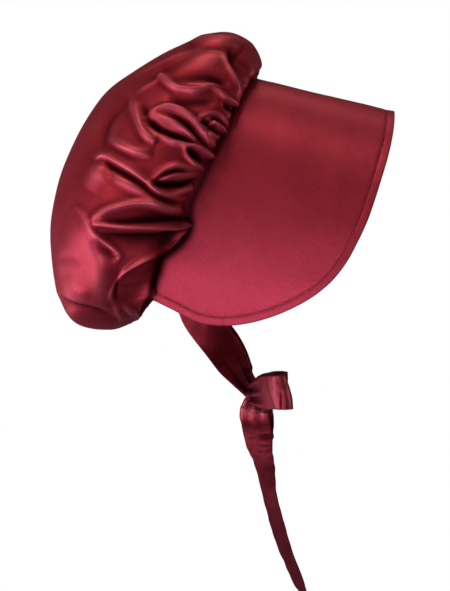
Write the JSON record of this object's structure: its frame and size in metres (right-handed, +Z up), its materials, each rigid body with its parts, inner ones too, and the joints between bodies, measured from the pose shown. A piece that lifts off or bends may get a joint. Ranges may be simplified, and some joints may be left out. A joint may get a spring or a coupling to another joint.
{
  "type": "satin bonnet",
  "caption": "Satin bonnet with a stiff curved brim, a gathered puffed crown and ribbon ties knotted in a bow under the chin.",
  "frame": {"origin": "on the middle plane, at the underside of the brim's back edge, where the bonnet rests on top of the head", "axes": "+Z up on an upright head, -Y out of the face opening, +X to the wearer's left"},
  "size_m": [0.2163, 0.2568, 0.4319],
  "materials": {
    "brim_satin": "burgundy satin drawn smooth over a stiff base, soft sheen, fine grain",
    "crown_satin": "thin burgundy satin in soft glossy folds, pink highlights",
    "ribbon_satin": "burgundy satin ribbon, soft gloss"
  },
  "bodies": {
    "root": {"brim": "brim_satin", "crown": "crown_satin", "tie_right": "ribbon_satin", "tie_left": "ribbon_satin", "bow_knot": "ribbon_satin", "bow_loop_right": "ribbon_satin", "bow_loop_left": "ribbon_satin", "tail_right": "ribbon_satin", "tail_left": "ribbon_satin"}
  },
  "joints": []
}
